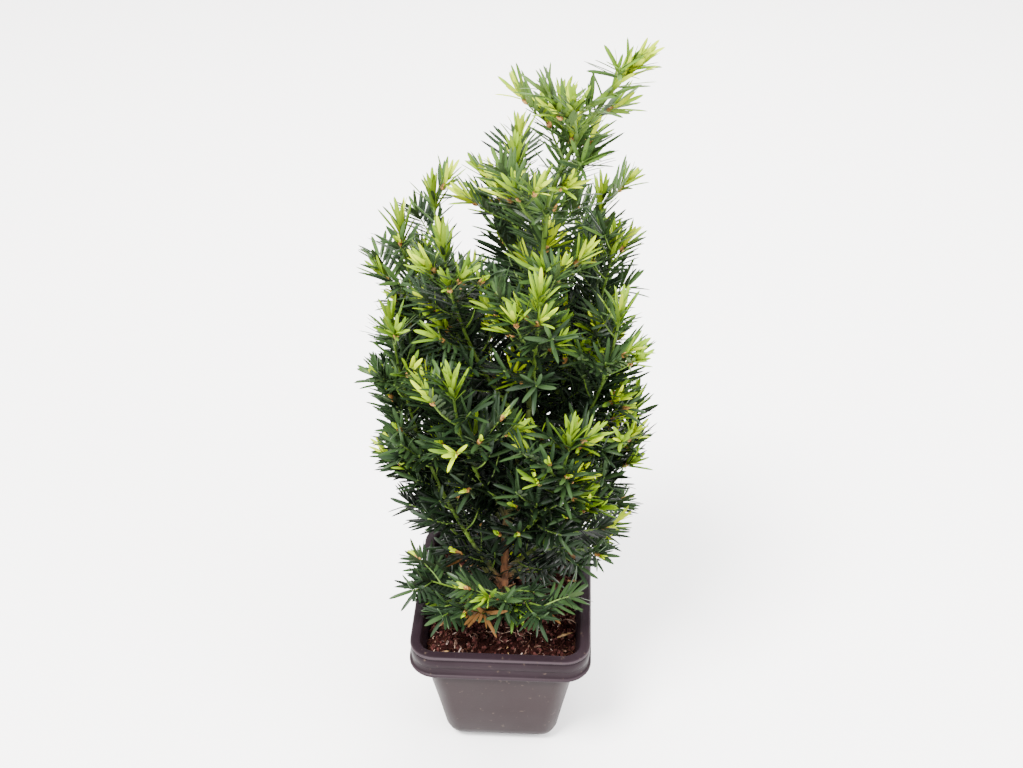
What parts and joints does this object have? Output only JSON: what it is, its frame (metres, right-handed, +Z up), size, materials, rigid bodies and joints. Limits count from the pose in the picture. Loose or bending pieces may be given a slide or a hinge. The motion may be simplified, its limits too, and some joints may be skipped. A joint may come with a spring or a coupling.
{
  "type": "potted young english yew",
  "caption": "Young evergreen yew with an upright leader and rising side shoots of flat dark green needles, rooted in compost in a square tapering nursery pot.",
  "frame": {"origin": "middle of the pot's flat underside", "axes": "+Z up along the plant, +X to the right and -Y towards the viewer of the picture"},
  "size_m": [0.1485, 0.1376, 0.3979],
  "materials": {
    "pot": "satin grey-black moulded plastic",
    "compost": "rough reddish-brown coir compost",
    "bark": "smooth young bark, orange-brown at the foot and green higher up",
    "foliage": "glossy dark green needles with yellow-green new tips"
  },
  "bodies": {
    "root": {"pot": "pot", "compost": "compost", "trunk": "bark", "leader_foliage": "foliage", "left_stem_bough": "bark", "left_stem_foliage": "foliage", "inner_left_stem_bough": "bark", "inner_left_stem_foliage": "foliage", "right_stem_bough": "bark", "right_stem_foliage": "foliage", "back_left_stem_bough": "bark", "back_left_stem_foliage": "foliage", "back_right_stem_bough": "bark", "back_right_stem_foliage": "foliage", "back_stem_bough": "bark", "back_stem_foliage": "foliage", "front_left_stem_bough": "bark", "front_left_stem_foliage": "foliage", "front_right_stem_bough": "bark", "front_right_stem_foliage": "foliage", "outer_right_stem_bough": "bark", "outer_right_stem_foliage": "foliage", "outer_left_stem_bough": "bark", "outer_left_stem_foliage": "foliage", "upper_right_shoot_bough": "bark", "upper_right_shoot_foliage": "foliage", "upper_left_shoot_bough": "bark", "upper_left_shoot_foliage": "foliage", "upper_back_shoot_bough": "bark", "upper_back_shoot_foliage": "foliage", "upper_front_shoot_bough": "bark", "upper_front_shoot_foliage": "foliage", "low_right_spray_bough": "bark", "low_right_spray_foliage": "foliage", "low_left_spray_bough": "bark", "low_left_spray_foliage": "foliage", "low_front_spray_bough": "bark", "low_front_spray_foliage": "foliage", "low_back_spray_bough": "bark", "low_back_spray_foliage": "foliage"}
  },
  "joints": []
}
